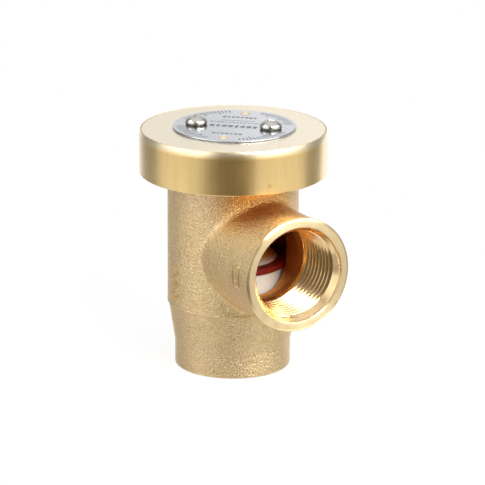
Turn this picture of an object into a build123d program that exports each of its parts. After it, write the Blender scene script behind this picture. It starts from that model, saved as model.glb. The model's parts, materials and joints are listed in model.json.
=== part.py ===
from build123d import *
import math
import os

os.makedirs("parts", exist_ok=True)

# Three-quarter inch atmospheric vacuum breaker, in millimetres.
# Origin: centre of the inlet face. +Z runs up the barrel, +X points out of the outlet.

# ---- pipe thread, the same in both ports
thread_pitch = 1.814
thread_crest_r = 12.1
thread_height = 1.2
thread_flat = 0.25
thread_turns = 8
lead_in_depth = 3.8
lead_in_margin = 0.15
mouth_chamfer = 0.6

# ---- cast body
barrel_r = 19.0
barrel_start = 19.6
hub_step = 2.2
hub_r = barrel_r - hub_step
hub_length = 7.0
foot_round = 0.6
hub_blend = 9.0
ridge_round = 1.2
barrel_wall = 3.0
chamber_r = barrel_r - barrel_wall
floor_web = 2.7
inlet_ledge = 1.7
inlet_passage_r = thread_crest_r - inlet_ledge
seat_width = 2.2
seat_height = 0.8
outlet_rise = 15.5
outlet_reach = 37.8
outlet_ledge = 0.5
outlet_passage_r = thread_crest_r - outlet_ledge
boss_wall = 2.6
boss_r = thread_crest_r + thread_height + lead_in_margin + boss_wall
boss_fillet = 1.8
boss_rim_step = 0.43
boss_rim_r = boss_r + boss_rim_step
boss_rim_length = 2.0
boss_face_chamfer = 0.4
barrel_above_outlet = 24.5

# ---- bonnet, screwed into the top of the body
bonnet_thread_step = 1.0
bonnet_thread_r = chamber_r + bonnet_thread_step
bonnet_thread_length = 7.0
bonnet_thread_clearance = 0.05
bonnet_skirt_clearance = 0.15
bonnet_flange_inset = 0.2
bonnet_flange_r = barrel_r - bonnet_flange_inset
bonnet_flange_thickness = 2.5
bonnet_edge_round = 0.5
gasket_thickness = 1.0
vent_ledge = 2.5
vent_r = chamber_r - vent_ledge
vent_lip_width = 1.1
vent_lip_height = 0.6
vent_seat_above_port = 0.7
bridge_width = 7.0
bridge_depth = 4.5
pillar_r = 3.5

# ---- hood, the cap over the air inlet
vent_gap_height = 3.4
hood_overhang = 8.2
hood_r = barrel_r + hood_overhang
hood_wall = 1.8
hood_top_thickness = 2.6
hood_height = 12.8
hood_shoulder_step = 0.4
hood_shoulder_height = 2.3
hood_face_r = hood_r - hood_shoulder_step
hood_inner_round = 1.6
hood_lip_round = 0.4

# ---- nameplate, its two drive pins and the two hood screws
plate_margin = 9.0
plate_r = hood_face_r - plate_margin
plate_thickness = 0.55
plate_edge_chamfer = 0.25
plate_shift = 1.3
pin_inset = 3.6
pin_circle_r = plate_r - pin_inset
pin_head_r = 1.55
pin_head_height = 0.6
pin_shank_r = 0.8
pin_length = 2.4
pin_clearance = 0.02
pin_spare_depth = 0.2
screw_azimuth = 48.0
screw_inset = 2.5
screw_circle_r = vent_r - screw_inset
screw_shank_r = 1.7
screw_head_r = 3.2
screw_head_height = 2.7
screw_head_side = 0.7
screw_length = 11.0
screw_hole_clearance = 0.2
tapped_clearance = 0.03
tapped_spare_depth = 1.0
screw_recess_width = 0.9
screw_recess_length = 3.6
screw_recess_depth = 1.5
tip_chamfer = 0.4

# ---- float: cup, seal disc and conical retainer, held together by one screw
cup_clearance = 1.2
cup_r = chamber_r - cup_clearance
cup_height = 8.5
cup_wall = 3.0
cup_floor = 2.0
cup_chamfer = 1.0
post_r = 4.2
post_clearance = 0.1
seal_clearance = 0.5
seal_r = chamber_r - seal_clearance
seal_thickness = 1.9
retainer_clearance = 0.6
retainer_base_r = vent_r - retainer_clearance
retainer_slope = 4.9
retainer_top_r = retainer_base_r - retainer_slope
retainer_height = 6.0
retainer_rim = 2.2
retainer_deck = 2.0
retainer_edge_round = 0.6
recess_sink = 1.2
washer_r = 3.6
washer_thickness = 0.5
retainer_screw_shank_r = 1.25
retainer_screw_head_r = 2.4
retainer_screw_head_side = 0.4
retainer_screw_head_height = 1.5
retainer_recess_width = 0.6
retainer_recess_length = 2.6
retainer_recess_depth = 0.9
retainer_screw_length = 9.0

# ---- heights worked out from the sizes above
lead_in_r = thread_crest_r + thread_height + lead_in_margin
thread_start = lead_in_depth
thread_end = thread_start + thread_turns * thread_pitch
chamber_floor_z = thread_end + floor_web
inlet_seat_z = chamber_floor_z + seat_height
outlet_z = chamber_floor_z + outlet_rise
body_top_z = outlet_z + barrel_above_outlet
vent_seat_z = outlet_z + outlet_passage_r + vent_seat_above_port
flange_bottom_z = body_top_z + gasket_thickness
flange_top_z = flange_bottom_z + bonnet_flange_thickness
hood_underside_z = flange_top_z + vent_gap_height
hood_top_z = hood_underside_z + hood_top_thickness
hood_bottom_z = hood_top_z - hood_height
plate_top_z = hood_top_z + plate_thickness
pin_bottom_z = plate_top_z - pin_length
shift_azimuth = math.radians(screw_azimuth + 90)
plate_centre = (plate_shift * math.cos(shift_azimuth), plate_shift * math.sin(shift_azimuth))
seal_bottom_z = inlet_seat_z + cup_height
seal_top_z = seal_bottom_z + seal_thickness
retainer_top_z = seal_top_z + retainer_height
float_travel = vent_seat_z - seal_top_z
bore_step_z = body_top_z - bonnet_thread_length


def port_points():
    """Half section of a threaded port as (depth, radius) points.

    A chamfered mouth, a smooth lead-in, then V-shaped turns with a small flat on each crest and root.
    """
    points = [
        (0, lead_in_r + mouth_chamfer),
        (mouth_chamfer, lead_in_r),
        (thread_start - thread_height, lead_in_r),
        (thread_start - thread_flat, thread_crest_r),
    ]
    flank = (thread_pitch - 2 * thread_flat) / 2
    for turn in range(thread_turns):
        crest = thread_start + turn * thread_pitch
        points += [
            (crest, thread_crest_r),
            (crest + flank, thread_crest_r + thread_height),
            (crest + flank + thread_flat, thread_crest_r + thread_height),
            (crest + 2 * flank + thread_flat, thread_crest_r),
        ]
    points.append((thread_end, thread_crest_r))
    return points


# ---- valve body: cast brass barrel with a threaded inlet, a side outlet and a machined chamber
with BuildPart() as valve_body:
    with BuildSketch(Plane.XZ):
        with BuildLine():
            Polyline(
                (0, 0),
                (hub_r, 0),
                (hub_r, hub_length),
                (barrel_r, barrel_start),
                (barrel_r, body_top_z),
                (0, body_top_z),
                close=True,
            )
        make_face()
    revolve(axis=Axis.Z)
    rings = valve_body.edges().filter_by(GeomType.CIRCLE).sort_by(Axis.Z)
    fillet(rings[0], foot_round)
    rings = valve_body.edges().filter_by(GeomType.CIRCLE)
    fillet(rings.sort_by(lambda ring: abs(ring.center().Z - hub_length))[0], hub_blend)
    rings = valve_body.edges().filter_by(GeomType.CIRCLE)
    fillet(rings.sort_by(lambda ring: abs(ring.center().Z - barrel_start))[0], ridge_round)

    rim_start = outlet_reach - boss_rim_length
    with BuildSketch(Plane.XZ):
        with BuildLine():
            Polyline(
                (0, outlet_z),
                (0, outlet_z + boss_r),
                (rim_start - (boss_rim_r - boss_r), outlet_z + boss_r),
                (rim_start, outlet_z + boss_rim_r),
                (outlet_reach, outlet_z + boss_rim_r),
                (outlet_reach, outlet_z),
                close=True,
            )
        make_face()
    revolve(axis=Axis((0, 0, outlet_z), (1, 0, 0)))
    root = valve_body.edges().filter_by(lambda edge: edge.geom_type not in (GeomType.CIRCLE, GeomType.LINE))
    fillet(root, boss_fillet)
    face_ring = valve_body.edges().filter_by(GeomType.CIRCLE).sort_by(Axis.X)[-1]
    chamfer(face_ring, boss_face_chamfer)

    with BuildSketch(Plane.XZ):
        with BuildLine():
            Polyline(
                (0, 0),
                *[(radius, depth) for depth, radius in port_points()],
                (inlet_passage_r, thread_end),
                (inlet_passage_r, inlet_seat_z),
                (inlet_passage_r + seat_width, inlet_seat_z),
                (inlet_passage_r + seat_width, chamber_floor_z),
                (chamber_r, chamber_floor_z),
                (chamber_r, bore_step_z),
                (bonnet_thread_r, bore_step_z),
                (bonnet_thread_r, body_top_z),
                (0, body_top_z),
                close=True,
            )
        make_face()
    revolve(axis=Axis.Z, mode=Mode.SUBTRACT)

    passage_start = (chamber_r - math.sqrt(chamber_r**2 - outlet_passage_r**2)) / 2
    with BuildSketch(Plane.XZ):
        with BuildLine():
            Polyline(
                (passage_start, outlet_z),
                (outlet_reach, outlet_z),
                *[(outlet_reach - depth, outlet_z + radius) for depth, radius in port_points()],
                (outlet_reach - thread_end, outlet_z + outlet_passage_r),
                (passage_start, outlet_z + outlet_passage_r),
                close=True,
            )
        make_face()
    revolve(axis=Axis((0, 0, outlet_z), (1, 0, 0)), mode=Mode.SUBTRACT)
valve_body.part.label = "valve_body"
export_step(valve_body.part, "parts/valve_body.step")

# ---- bonnet gasket: flat ring squeezed between the body and the bonnet's flange
with BuildPart() as bonnet_gasket:
    with BuildSketch(Plane.XY.offset(body_top_z)):
        Circle(bonnet_flange_r)
        Circle(bonnet_thread_r, mode=Mode.SUBTRACT)
    extrude(amount=gasket_thickness)
bonnet_gasket.part.label = "bonnet_gasket"
export_step(bonnet_gasket.part, "parts/bonnet_gasket.step")

# ---- bonnet: threaded brass ring with the air seat below and a bridge with two pillars above
skirt_r = chamber_r - bonnet_skirt_clearance
thread_r = bonnet_thread_r - bonnet_thread_clearance
lip_r = vent_r + vent_lip_width
screw_tip_z = plate_top_z - screw_length
tapped_bottom_z = screw_tip_z - tapped_spare_depth
with BuildPart() as bonnet:
    with BuildSketch(Plane.XZ):
        with BuildLine():
            Polyline(
                (vent_r, vent_seat_z),
                (lip_r, vent_seat_z),
                (lip_r, vent_seat_z + vent_lip_height),
                (skirt_r, vent_seat_z + vent_lip_height),
                (skirt_r, bore_step_z + bonnet_thread_clearance),
                (thread_r, bore_step_z + bonnet_thread_clearance),
                (thread_r, flange_bottom_z),
                (bonnet_flange_r, flange_bottom_z),
                (bonnet_flange_r, flange_top_z),
                (vent_r, flange_top_z),
                close=True,
            )
        make_face()
    revolve(axis=Axis.Z)
    rim = bonnet.edges().filter_by(GeomType.CIRCLE).group_by(Axis.Z)[-1].sort_by(SortBy.RADIUS)[-1]
    fillet(rim, bonnet_edge_round)
    with BuildSketch(Plane.XY.offset(flange_top_z - bridge_depth)):
        Rectangle(vent_r + lip_r, bridge_width, rotation=screw_azimuth)
    extrude(amount=bridge_depth)
    with BuildSketch(Plane.XY.offset(flange_top_z)):
        with PolarLocations(screw_circle_r, 2, screw_azimuth):
            Circle(pillar_r)
    extrude(amount=vent_gap_height)
    with BuildSketch(Plane.XY.offset(tapped_bottom_z)):
        with PolarLocations(screw_circle_r, 2, screw_azimuth):
            Circle(screw_shank_r + tapped_clearance)
    extrude(amount=hood_underside_z - tapped_bottom_z, mode=Mode.SUBTRACT)
bonnet.part.label = "bonnet"
export_step(bonnet.part, "parts/bonnet.step")

# ---- hood: turned brass cap that keeps dirt out and leaves an air gap round the barrel
shoulder_r = (hood_shoulder_height**2 + hood_shoulder_step**2) / (2 * hood_shoulder_step)
shoulder_angle = math.degrees(math.asin(hood_shoulder_height / shoulder_r))
shoulder_z = hood_top_z - hood_shoulder_height
with BuildPart() as hood:
    with BuildSketch(Plane.XZ):
        with BuildLine():
            Polyline(
                (hood_face_r, hood_top_z),
                (0, hood_top_z),
                (0, hood_underside_z),
                (hood_r - hood_wall, hood_underside_z),
                (hood_r - hood_wall, hood_bottom_z),
                (hood_r, hood_bottom_z),
                (hood_r, shoulder_z),
            )
            CenterArc((hood_r - shoulder_r, shoulder_z), shoulder_r, 0, shoulder_angle)
        make_face()
    revolve(axis=Axis.Z)
    lips = hood.edges().filter_by(GeomType.CIRCLE).group_by(Axis.Z)[0]
    fillet(lips, hood_lip_round)
    rings = hood.edges().filter_by(GeomType.CIRCLE)
    fillet(rings.sort_by(lambda ring: abs(ring.center().Z - hood_underside_z))[0], hood_inner_round)
    with BuildSketch(Plane.XY.offset(hood_underside_z)):
        with PolarLocations(screw_circle_r, 2, screw_azimuth):
            Circle(screw_shank_r + screw_hole_clearance)
    extrude(amount=hood_top_thickness, mode=Mode.SUBTRACT)
    with BuildSketch(Plane.XY.offset(pin_bottom_z - pin_spare_depth)):
        with Locations(plate_centre):
            with PolarLocations(pin_circle_r, 2, screw_azimuth + 90):
                Circle(pin_shank_r + pin_clearance)
    extrude(amount=hood_top_z - pin_bottom_z + pin_spare_depth, mode=Mode.SUBTRACT)
hood.part.label = "hood"
export_step(hood.part, "parts/hood.step")

# ---- nameplate: thin bare disc, a little off the hood's centre, with holes for the two hood screws and,
# across them, two drive pins
with BuildPart() as nameplate:
    with BuildSketch(Plane.XY.offset(hood_top_z)):
        with Locations(plate_centre):
            Circle(plate_r)
            with PolarLocations(pin_circle_r, 2, screw_azimuth + 90):
                Circle(pin_shank_r + pin_clearance, mode=Mode.SUBTRACT)
        with PolarLocations(screw_circle_r, 2, screw_azimuth):
            Circle(screw_shank_r + screw_hole_clearance, mode=Mode.SUBTRACT)
    extrude(amount=plate_thickness)
    rim = nameplate.edges().filter_by(GeomType.CIRCLE).group_by(Axis.Z)[-1].sort_by(SortBy.RADIUS)[-1]
    chamfer(rim, plate_edge_chamfer)
nameplate.part.label = "nameplate"
export_step(nameplate.part, "parts/nameplate.step")

# ---- nameplate pins: two brass drive pins with low domed heads
pin_crown_r = (pin_head_r**2 + pin_head_height**2) / (2 * pin_head_height)
pin_rim_angle = math.degrees(math.acos(pin_head_r / pin_crown_r))
with BuildPart() as drive_pin:
    with BuildSketch(Plane.XZ):
        with BuildLine():
            Polyline((0, pin_head_height), (0, -pin_length), (pin_shank_r, -pin_length), (pin_shank_r, 0), (pin_head_r, 0))
            CenterArc((0, pin_head_height - pin_crown_r), pin_crown_r, pin_rim_angle, 90 - pin_rim_angle)
        make_face()
    revolve(axis=Axis.Z)
with BuildPart() as nameplate_pins:
    with Locations((*plate_centre, plate_top_z)):
        with PolarLocations(pin_circle_r, 2, screw_azimuth + 90):
            add(drive_pin.part)
nameplate_pins.part.label = "nameplate_pins"
export_step(nameplate_pins.part, "parts/nameplate_pins.step")


def make_screw(shank_r, length, head_r, side, height, slot_width, slot_length, slot_depth):
    """A round-head screw standing on its head's underside at the origin, with a cross recess.

    The crown is part of a sphere from the top of the head's short upright side to the pole.
    """
    crown_height = height - side
    crown_r = (head_r**2 + crown_height**2) / (2 * crown_height)
    rim_angle = math.degrees(math.acos(head_r / crown_r))
    with BuildPart() as screw:
        with BuildSketch(Plane.XZ):
            with BuildLine():
                Polyline(
                    (0, height),
                    (0, -length),
                    (shank_r - tip_chamfer, -length),
                    (shank_r, tip_chamfer - length),
                    (shank_r, 0),
                    (head_r, 0),
                    (head_r, side),
                )
                CenterArc((0, height - crown_r), crown_r, rim_angle, 90 - rim_angle)
            make_face()
        revolve(axis=Axis.Z)
        with BuildSketch(Plane.XY.offset(height - slot_depth)):
            Rectangle(slot_length, slot_width)
            Rectangle(slot_width, slot_length)
        extrude(amount=slot_depth, mode=Mode.SUBTRACT)
    return screw.part


# ---- hood screws: two stainless round-head screws through the plate and hood into the pillars
with BuildPart() as hood_screws:
    with Locations((0, 0, plate_top_z)):
        with PolarLocations(screw_circle_r, 2, screw_azimuth):
            add(
                make_screw(
                    screw_shank_r,
                    screw_length,
                    screw_head_r,
                    screw_head_side,
                    screw_head_height,
                    screw_recess_width,
                    screw_recess_length,
                    screw_recess_depth,
                )
            )
hood_screws.part.label = "hood_screws"
export_step(hood_screws.part, "parts/hood_screws.step")

# ---- float cup: moulded acetal cup that closes the inlet, with a post for the seal and retainer
post_top_z = retainer_top_z - recess_sink - retainer_deck
with BuildPart() as float_cup:
    with BuildSketch(Plane.XZ):
        with BuildLine():
            Polyline(
                (0, inlet_seat_z),
                (cup_r - cup_chamfer, inlet_seat_z),
                (cup_r, inlet_seat_z + cup_chamfer),
                (cup_r, seal_bottom_z),
                (cup_r - cup_wall, seal_bottom_z),
                (cup_r - cup_wall, inlet_seat_z + cup_floor),
                (post_r, inlet_seat_z + cup_floor),
                (post_r, post_top_z),
                (0, post_top_z),
                close=True,
            )
        make_face()
    revolve(axis=Axis.Z)
    pilot_depth = retainer_screw_length - retainer_deck - washer_thickness + tapped_spare_depth
    with BuildSketch(Plane.XY.offset(post_top_z - pilot_depth)):
        Circle(retainer_screw_shank_r + tapped_clearance)
    extrude(amount=pilot_depth, mode=Mode.SUBTRACT)
float_cup.part.label = "float_cup"
export_step(float_cup.part, "parts/float_cup.step")

# ---- seal disc: red silicone washer that closes the air seat when the float is up
with BuildPart() as seal_disc:
    with BuildSketch(Plane.XY.offset(seal_bottom_z)):
        Circle(seal_r)
        Circle(post_r + post_clearance, mode=Mode.SUBTRACT)
    extrude(amount=seal_thickness)
seal_disc.part.label = "seal_disc"
export_step(seal_disc.part, "parts/seal_disc.step")

# ---- disc retainer: white moulded cone that clamps the seal disc's rim and sits on the post
recess_r = washer_r + post_clearance
cone_r = retainer_base_r - retainer_rim
deck_r = retainer_top_r - retainer_rim
with BuildPart() as disc_retainer:
    with BuildSketch(Plane.XZ):
        with BuildLine():
            Polyline(
                (cone_r, seal_top_z),
                (retainer_base_r, seal_top_z),
                (retainer_top_r, retainer_top_z),
                (recess_r, retainer_top_z),
                (recess_r, retainer_top_z - recess_sink),
                (retainer_screw_shank_r + post_clearance, retainer_top_z - recess_sink),
                (retainer_screw_shank_r + post_clearance, post_top_z),
                (deck_r, post_top_z),
                close=True,
            )
        make_face()
    revolve(axis=Axis.Z)
    crown = disc_retainer.edges().filter_by(GeomType.CIRCLE).group_by(Axis.Z)[-1].sort_by(SortBy.RADIUS)[-1]
    fillet(crown, retainer_edge_round)
disc_retainer.part.label = "disc_retainer"
export_step(disc_retainer.part, "parts/disc_retainer.step")

# ---- retainer washer and screw, stainless, in the retainer's recess
with BuildPart() as retainer_washer:
    with BuildSketch(Plane.XY.offset(retainer_top_z - recess_sink)):
        Circle(washer_r)
        Circle(retainer_screw_shank_r + post_clearance, mode=Mode.SUBTRACT)
    extrude(amount=washer_thickness)
retainer_washer.part.label = "retainer_washer"
export_step(retainer_washer.part, "parts/retainer_washer.step")

with BuildPart() as retainer_screw:
    with Locations((0, 0, retainer_top_z - recess_sink + washer_thickness)):
        add(
            make_screw(
                retainer_screw_shank_r,
                retainer_screw_length,
                retainer_screw_head_r,
                retainer_screw_head_side,
                retainer_screw_head_height,
                retainer_recess_width,
                retainer_recess_length,
                retainer_recess_depth,
            )
        )
retainer_screw.part.label = "retainer_screw"
export_step(retainer_screw.part, "parts/retainer_screw.step")

print(f"float travel {float_travel:.3f} mm, overall height {plate_top_z + screw_head_height:.2f} mm")
print(f"seat {inlet_seat_z:.3f}, outlet {outlet_z:.3f}, vent seat {vent_seat_z:.3f}, hood top {hood_top_z:.3f}")
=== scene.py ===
import json
import math

import bmesh
import bpy
import numpy as np
from mathutils import Matrix, Vector


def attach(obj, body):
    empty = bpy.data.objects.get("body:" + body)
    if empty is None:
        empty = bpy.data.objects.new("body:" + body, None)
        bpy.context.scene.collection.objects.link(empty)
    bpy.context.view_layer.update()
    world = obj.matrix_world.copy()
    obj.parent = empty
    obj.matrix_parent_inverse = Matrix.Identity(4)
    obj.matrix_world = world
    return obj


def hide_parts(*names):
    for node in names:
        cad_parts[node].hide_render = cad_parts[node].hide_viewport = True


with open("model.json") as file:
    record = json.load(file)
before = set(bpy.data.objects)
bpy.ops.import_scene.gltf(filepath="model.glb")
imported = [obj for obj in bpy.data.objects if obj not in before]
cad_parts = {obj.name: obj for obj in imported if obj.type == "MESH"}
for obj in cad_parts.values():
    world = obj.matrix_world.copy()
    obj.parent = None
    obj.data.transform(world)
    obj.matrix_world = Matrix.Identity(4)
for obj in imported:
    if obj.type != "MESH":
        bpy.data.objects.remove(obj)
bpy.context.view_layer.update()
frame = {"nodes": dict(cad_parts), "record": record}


# ---- Valve body
# Sand-cast brass angle body, shot blasted, then bored, faced and threaded. The barrel stands on the
# inlet's ring face, and the side outlet grows out of the barrel through a cast fillet.

def rounded(corners, radii, steps=8):
    """Half section through the corners, each inner corner swept by an arc of its own radius.

    An arc starts and ends at radius times the tangent of half the turn from its corner, and its
    points turn by equal angles. A radius of zero keeps the corner.
    """
    corners = np.array(corners, float)
    before, corner, after = corners[:-2], corners[1:-1], corners[2:]
    into = (corner - before) / np.linalg.norm(corner - before, axis=1)[:, None]
    out = (after - corner) / np.linalg.norm(after - corner, axis=1)[:, None]
    turn = np.arctan2(into[:, 0] * out[:, 1] - into[:, 1] * out[:, 0], (into * out).sum(1))
    radii = np.array(radii, float)[:, None]
    start = corner - into * radii * np.tan(np.abs(turn) / 2)[:, None]
    inward = np.stack([-into[:, 1], into[:, 0]], 1) * np.sign(turn)[:, None] * radii
    angle = turn[:, None] * np.linspace(0, 1, steps + 1)
    spoke_x, spoke_y = -inward[:, :1], -inward[:, 1:]
    arcs = (start + inward)[:, None, :] + np.stack(
        [spoke_x * np.cos(angle) - spoke_y * np.sin(angle), spoke_x * np.sin(angle) + spoke_y * np.cos(angle)], -1
    )
    return np.concatenate([corners[:1], arcs.reshape(-1, 2), corners[-1:]])


def turned(section, columns=360, centre=(0.0, 0.0)):
    """Grid of a turned surface: each (radius, height) of the section is carried round an upright axis."""
    angle = np.arange(columns) * 2 * np.pi / columns
    radius, height = np.asarray(section, float).T[:, :, None]
    return np.stack(
        [centre[0] + radius * np.cos(angle), centre[1] + radius * np.sin(angle), height + 0 * angle], -1
    )


def make_piece(name, grids, edge_angle=30.0):
    """One closed mesh from grids of points in millimetres.

    Each grid is (points, whether its columns close on themselves, number of its finish). Neighbouring
    points are joined by four-sided faces, equal points are merged, faces are turned outwards, and
    edges that bend by more than edge_angle stay crisp.
    """
    points, faces, finishes, count = [], [], [], 0
    for grid, closed, finish in grids:
        number = count + np.arange(grid.shape[0] * grid.shape[1]).reshape(grid.shape[:2])
        if closed:
            number = np.concatenate([number, number[:, :1]], 1)
        quads = np.stack([number[:-1, :-1], number[:-1, 1:], number[1:, 1:], number[1:, :-1]], -1).reshape(-1, 4)
        points.append(grid.reshape(-1, 3))
        faces.append(quads)
        finishes.append(np.full(len(quads), finish))
        count += grid.shape[0] * grid.shape[1]
    mesh = bpy.data.meshes.new(name)
    mesh.from_pydata((np.concatenate(points) * 0.001).tolist(), [], np.concatenate(faces).tolist())
    mesh.polygons.foreach_set("material_index", np.concatenate(finishes).astype(np.int32))
    work = bmesh.new()
    work.from_mesh(mesh)
    bmesh.ops.remove_doubles(work, verts=work.verts, dist=1e-6)
    bmesh.ops.recalc_face_normals(work, faces=work.faces)
    work.to_mesh(mesh)
    work.free()
    mesh.shade_smooth()
    mesh.set_sharp_from_angle(angle=math.radians(edge_angle))
    piece = bpy.data.objects.new(name, mesh)
    bpy.context.scene.collection.objects.link(piece)
    return piece


def linear(code):
    """Linear colour of an sRGB hex code: c / 12.92 when dark, else ((c + 0.055) / 1.055) to the power 2.4."""
    shade = np.array([int(code[i : i + 2], 16) for i in (1, 3, 5)]) / 255
    return (*np.where(shade <= 0.04045, shade / 12.92, ((shade + 0.055) / 1.055) ** 2.4).tolist(), 1.0)


def add(material, kind, sockets=None, stops=(), **settings):
    """Adds a node, sets its properties, and fills its sockets with values or with links from other sockets.

    A node given as a value stands for its first output. The stops are the place and hex colour of each
    end of a colour ramp.
    """
    node = material.node_tree.nodes.new(kind)
    for key, value in settings.items():
        setattr(node, key, value)
    for key, value in (sockets or {}).items():
        value = value.outputs[0] if isinstance(value, bpy.types.Node) else value
        if isinstance(value, bpy.types.NodeSocket):
            material.node_tree.links.new(value, node.inputs[key])
        else:
            node.inputs[key].default_value = value
    for end, (place, code) in enumerate(stops):
        node.color_ramp.elements[end].position, node.color_ramp.elements[end].color = place, linear(code)
    return node


def new_material(name):
    """An empty node material."""
    material = bpy.data.materials.new(name)
    material.use_nodes = True
    material.node_tree.nodes.clear()
    return material


# Sizes in millimetres. The countersink narrows by its slope for each millimetre of depth, and the
# thread's phase is a share of its pitch.
barrel_r, hub_r, foot_round, hub_length, barrel_start = 19.0, 16.8, 0.6, 7.0, 19.6
hub_blend, body_top, bore_step, top_thread_r = 9.0, 61.012, 54.012, 17.0
chamber_r, chamber_floor, seat_top, seat_r, inlet_passage_r = 16.0, 21.012, 21.812, 12.6, 10.4
boss_r, boss_fillet, boss_rim_r, boss_rim_length, face_chamfer = 16.05, 2.8, 16.48, 2.0, 0.4
thread_pitch, thread_crest_r, thread_height, thread_start, thread_end = 1.814, 12.1, 1.2, 3.8, 18.312
lead_in_r, mouth_chamfer, outlet_passage_r = 13.45, 0.6, 11.6
countersink_r, countersink_slope, thread_phase, ridge_height = lead_in_r + 0.22, 0.84, 0.24, 0.06
outlet_face = next(mount for mount in frame["record"]["mounts"] if mount["name"] == "outlet_face")
outlet_reach, outlet_z = outlet_face["pos_m"][0] * 1000, outlet_face["pos_m"][2] * 1000

# The barrel is a grid of 240 columns with a window for the boss, and the boss's rings have as many
# points as the window has round its edge.
columns, ring = 240, 288
window_half, window_rows, window_low, window_high = 44, 56, 19.8, 57.0
chamber_half, chamber_rows, chamber_low, chamber_high = 60, 24, 22.5, 51.0
column_angle = 2 * np.pi / columns
phi = (np.arange(ring) / ring - 0.25) * 2 * np.pi


def window_edge(half, rows, low, high):
    """Angle and height of the points once round a window in the barrel, from the middle of its lower edge."""
    right, left = np.full(rows, half), np.full(rows, -half)
    across = np.concatenate([np.arange(half), right, np.arange(half, -half, -1), left, np.arange(-half, 0)])
    flat, rising = np.zeros(half), np.arange(rows)
    up = np.concatenate([flat, rising, np.full(2 * half, rows), rows - rising, flat])
    return across * column_angle, low + (high - low) * up / rows


def window_patch(radius, root_angle, root_height, edge, rows):
    """Rings on the barrel from the boss's root to the window's edge, straight in the unrolled wall."""
    share = np.linspace(0, 1, rows + 1)[:, None]
    angle = root_angle + (edge[0] - root_angle) * share
    height = root_height + (edge[1] - root_height) * share
    return np.stack([radius * np.cos(angle), radius * np.sin(angle), height], -1)


def beside_window(radius, half, rows, low, high):
    """The wall's regular grid round the back, from one side of the window to the other."""
    angle = np.arange(half, columns - half + 1) * column_angle
    height = np.linspace(low, high, rows + 1)[:, None]
    return np.stack([radius * np.cos(angle) + 0 * height, radius * np.sin(angle) + 0 * height, height + 0 * angle], -1)


def thread(turn):
    """Depth and radius of a right-hand internal thread, for a full turn's worth of columns.

    The rows follow the helix, closer together at crest and root, and are cut off at the mouth and at the
    thread's end. The groove is a V, partly smoothed, that starts in the mouth's countersink and fades out
    over its last turn.
    """
    rows = (np.arange(-2, 9)[:, None] + [0, 0.06, 0.26, 0.46, 0.54, 0.74, 0.94]).reshape(-1, 1)
    depth = thread_start + thread_pitch * (rows + thread_phase - np.abs(turn - turn[0]))
    depth = np.clip(depth, mouth_chamfer, thread_end)
    phase = np.mod((depth - thread_start) / thread_pitch - thread_phase + np.abs(turn - turn[0]), 1.0)
    groove = np.clip((1 - np.abs(2 * phase - 1) - 0.03) / 0.94, 0, 1)
    groove = 0.6 * groove + 0.4 * groove**2 * (3 - 2 * groove)
    groove = groove * np.clip((thread_end - depth) / thread_pitch, 0, 1) * np.clip((depth - 0.9) / 1.2, 0, 1)
    countersink = countersink_r - (depth - mouth_chamfer) * countersink_slope
    return depth, np.maximum(thread_crest_r + thread_height * groove, countersink)


def along_outlet(x, radius):
    """Rings round the outlet's axis, at the given places along it."""
    x, radius = np.broadcast_arrays(x, radius)
    return np.stack([x + 0 * phi, radius * np.cos(phi), outlet_z + radius * np.sin(phi)], -1)


# Root of the boss: a ball rolled along the corner between barrel and boss, smaller where the boss
# comes near the barrel's lower ridge.
room_below = np.where(np.sin(phi) < -0.5, (outlet_z - 20.0) / np.maximum(-np.sin(phi), 0.5) - boss_r, boss_fillet)
ball = np.clip(room_below, 0.4, boss_fillet)
ball_y = (boss_r + ball) * np.cos(phi)
ball_x = np.sqrt((barrel_r + ball) ** 2 - ball_y**2)
ball_z = outlet_z + (boss_r + ball) * np.sin(phi)
to_boss = np.stack([0 * phi, -np.cos(phi), -np.sin(phi)], -1)
to_barrel = np.stack([-ball_x, -ball_y, 0 * phi], -1) / (barrel_r + ball)[:, None]
spread = np.arccos((to_boss * to_barrel).sum(-1))[None, :, None]
share = np.linspace(0, 1, 11)[:, None, None]
fillet = np.stack([ball_x, ball_y, ball_z], -1) + ball[:, None] * (
    np.sin((1 - share) * spread) * to_barrel + np.sin(share * spread) * to_boss
) / np.sin(spread)
outer_edge = window_edge(window_half, window_rows, window_low, window_high)
outer_patch = window_patch(barrel_r, np.arctan2(ball_y, ball_x), ball_z, outer_edge, 10)

rim_start = outlet_reach - boss_rim_length
boss_side = ball_x + (rim_start - 0.6 - ball_x) * np.linspace(0, 1, 15)[:, None]
boss_wall = along_outlet(boss_side, boss_r)
rim = rounded(
    [(rim_start - 0.6, boss_r), (rim_start - 0.35, boss_r), (rim_start, boss_rim_r),
     (outlet_reach - face_chamfer, boss_rim_r)],
    (0.3, 0.3), 5,
)

# The outlet's face has a fine turned groove near its outer edge and a countersink at its mouth.
face = rounded(
    [(outlet_reach - face_chamfer, boss_rim_r), (outlet_reach - 0.05, boss_rim_r - 0.42),
     (outlet_reach - 0.16, boss_rim_r - 0.5), (outlet_reach, boss_rim_r - 0.66),
     (outlet_reach, lead_in_r + mouth_chamfer), (outlet_reach - 0.35, countersink_r + 0.05),
     (outlet_reach - mouth_chamfer, countersink_r)],
    (0.05, 0.03, 0.03, 0.08, 0.05), 4,
)
turn = np.arange(ring + 1) / ring - 0.25
depth, radius = thread(turn)
angle = 2 * np.pi * turn
outlet_thread = np.stack([outlet_reach - depth, radius * np.cos(angle), outlet_z + radius * np.sin(angle)], -1)
inner_y, inner_z = outlet_passage_r * np.cos(phi), outlet_z + outlet_passage_r * np.sin(phi)
inner_x = np.sqrt(chamber_r**2 - inner_y**2)
passage_start = outlet_reach - thread_end - 1.6
passage_x = passage_start + (inner_x - passage_start) * np.linspace(0, 1, 9)[:, None]
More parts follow.
